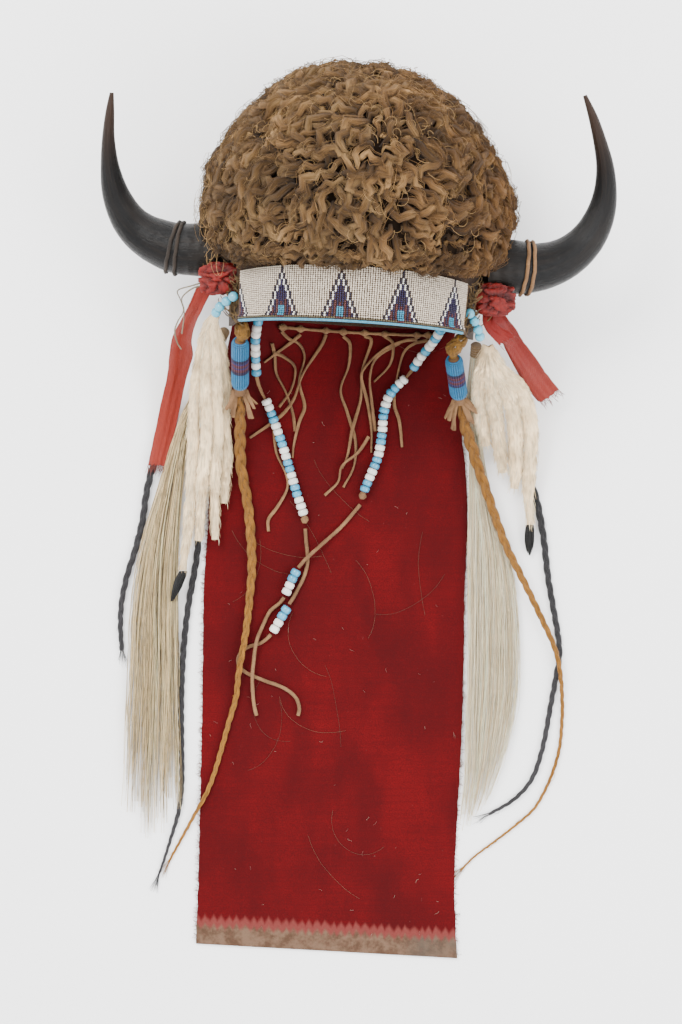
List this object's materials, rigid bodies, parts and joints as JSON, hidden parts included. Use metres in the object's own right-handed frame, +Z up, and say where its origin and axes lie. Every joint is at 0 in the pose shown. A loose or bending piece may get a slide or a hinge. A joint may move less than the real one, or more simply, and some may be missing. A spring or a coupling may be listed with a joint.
{
  "type": "buffalo-horn war bonnet",
  "caption": "Hollow buffalo-hide cap with wool, two horns, beaded brow band, red cloth trailer, chin strings, fur and horsehair drops.",
  "frame": {"origin": "on the surface that the bonnet lies on, at the flat middle of the cloth under the back rim", "axes": "+Z up, out of the beaded front; +Y from the open rim to the crown; +X to the right as the front is seen"},
  "size_m": [0.3719, 0.6543, 0.1915],
  "materials": {
    "hide": "rough tanned hide",
    "wool": "curly buffalo wool",
    "horn": "polished dark horn",
    "beadwork": "seed beads in columns, opaque",
    "cloth": "red wool trade cloth",
    "thong": "tan thong",
    "pony_beads": "opaque white and blue pony beads",
    "yellow_hair": "dyed yellow horsehair braid",
    "black_hair": "black horsehair braid",
    "ermine": "white ermine fur",
    "ermine_tip": "black fur tip",
    "horsehair": "loose pale horsehair",
    "silk": "red silk ribbon"
  },
  "bodies": {
    "root": {"bead_group_left": "pony_beads", "bead_group_right": "pony_beads", "bead_loop_left": "pony_beads", "bead_loop_right": "pony_beads", "bead_sleeve_left": "beadwork", "bead_sleeve_right": "beadwork", "bead_string_left": "pony_beads", "bead_string_right": "pony_beads", "braid_black_inner": "black_hair", "braid_black_outer": "black_hair", "braid_black_right": "black_hair", "braid_yellow_left": "yellow_hair", "braid_yellow_right": "yellow_hair", "brow_band": "beadwork", "cap_hide": "hide", "cap_wool": "wool", "chin_thong_left_end": "thong", "chin_thong_left_upper": "thong", "chin_thong_right_end": "thong", "chin_thong_right_upper": "thong", "ermine_left": "ermine", "ermine_right": "ermine", "ermine_tip_left": "ermine_tip", "ermine_tip_right": "ermine_tip", "hair_drop_left": "horsehair", "hair_drop_right": "horsehair", "horn_lacing_left": "thong", "horn_lacing_right": "thong", "horn_left": "horn", "horn_right": "horn", "ribbon_end_right": "silk", "ribbon_knot_left": "silk", "ribbon_knot_right": "silk", "ribbon_tail_left": "silk", "ribbon_tail_right": "silk", "rim_lacing": "thong", "sleeve_fringe_left": "thong", "sleeve_fringe_right": "thong", "sleeve_knot_left": "yellow_hair", "sleeve_knot_right": "yellow_hair", "trailer": "cloth"}
  },
  "joints": []
}
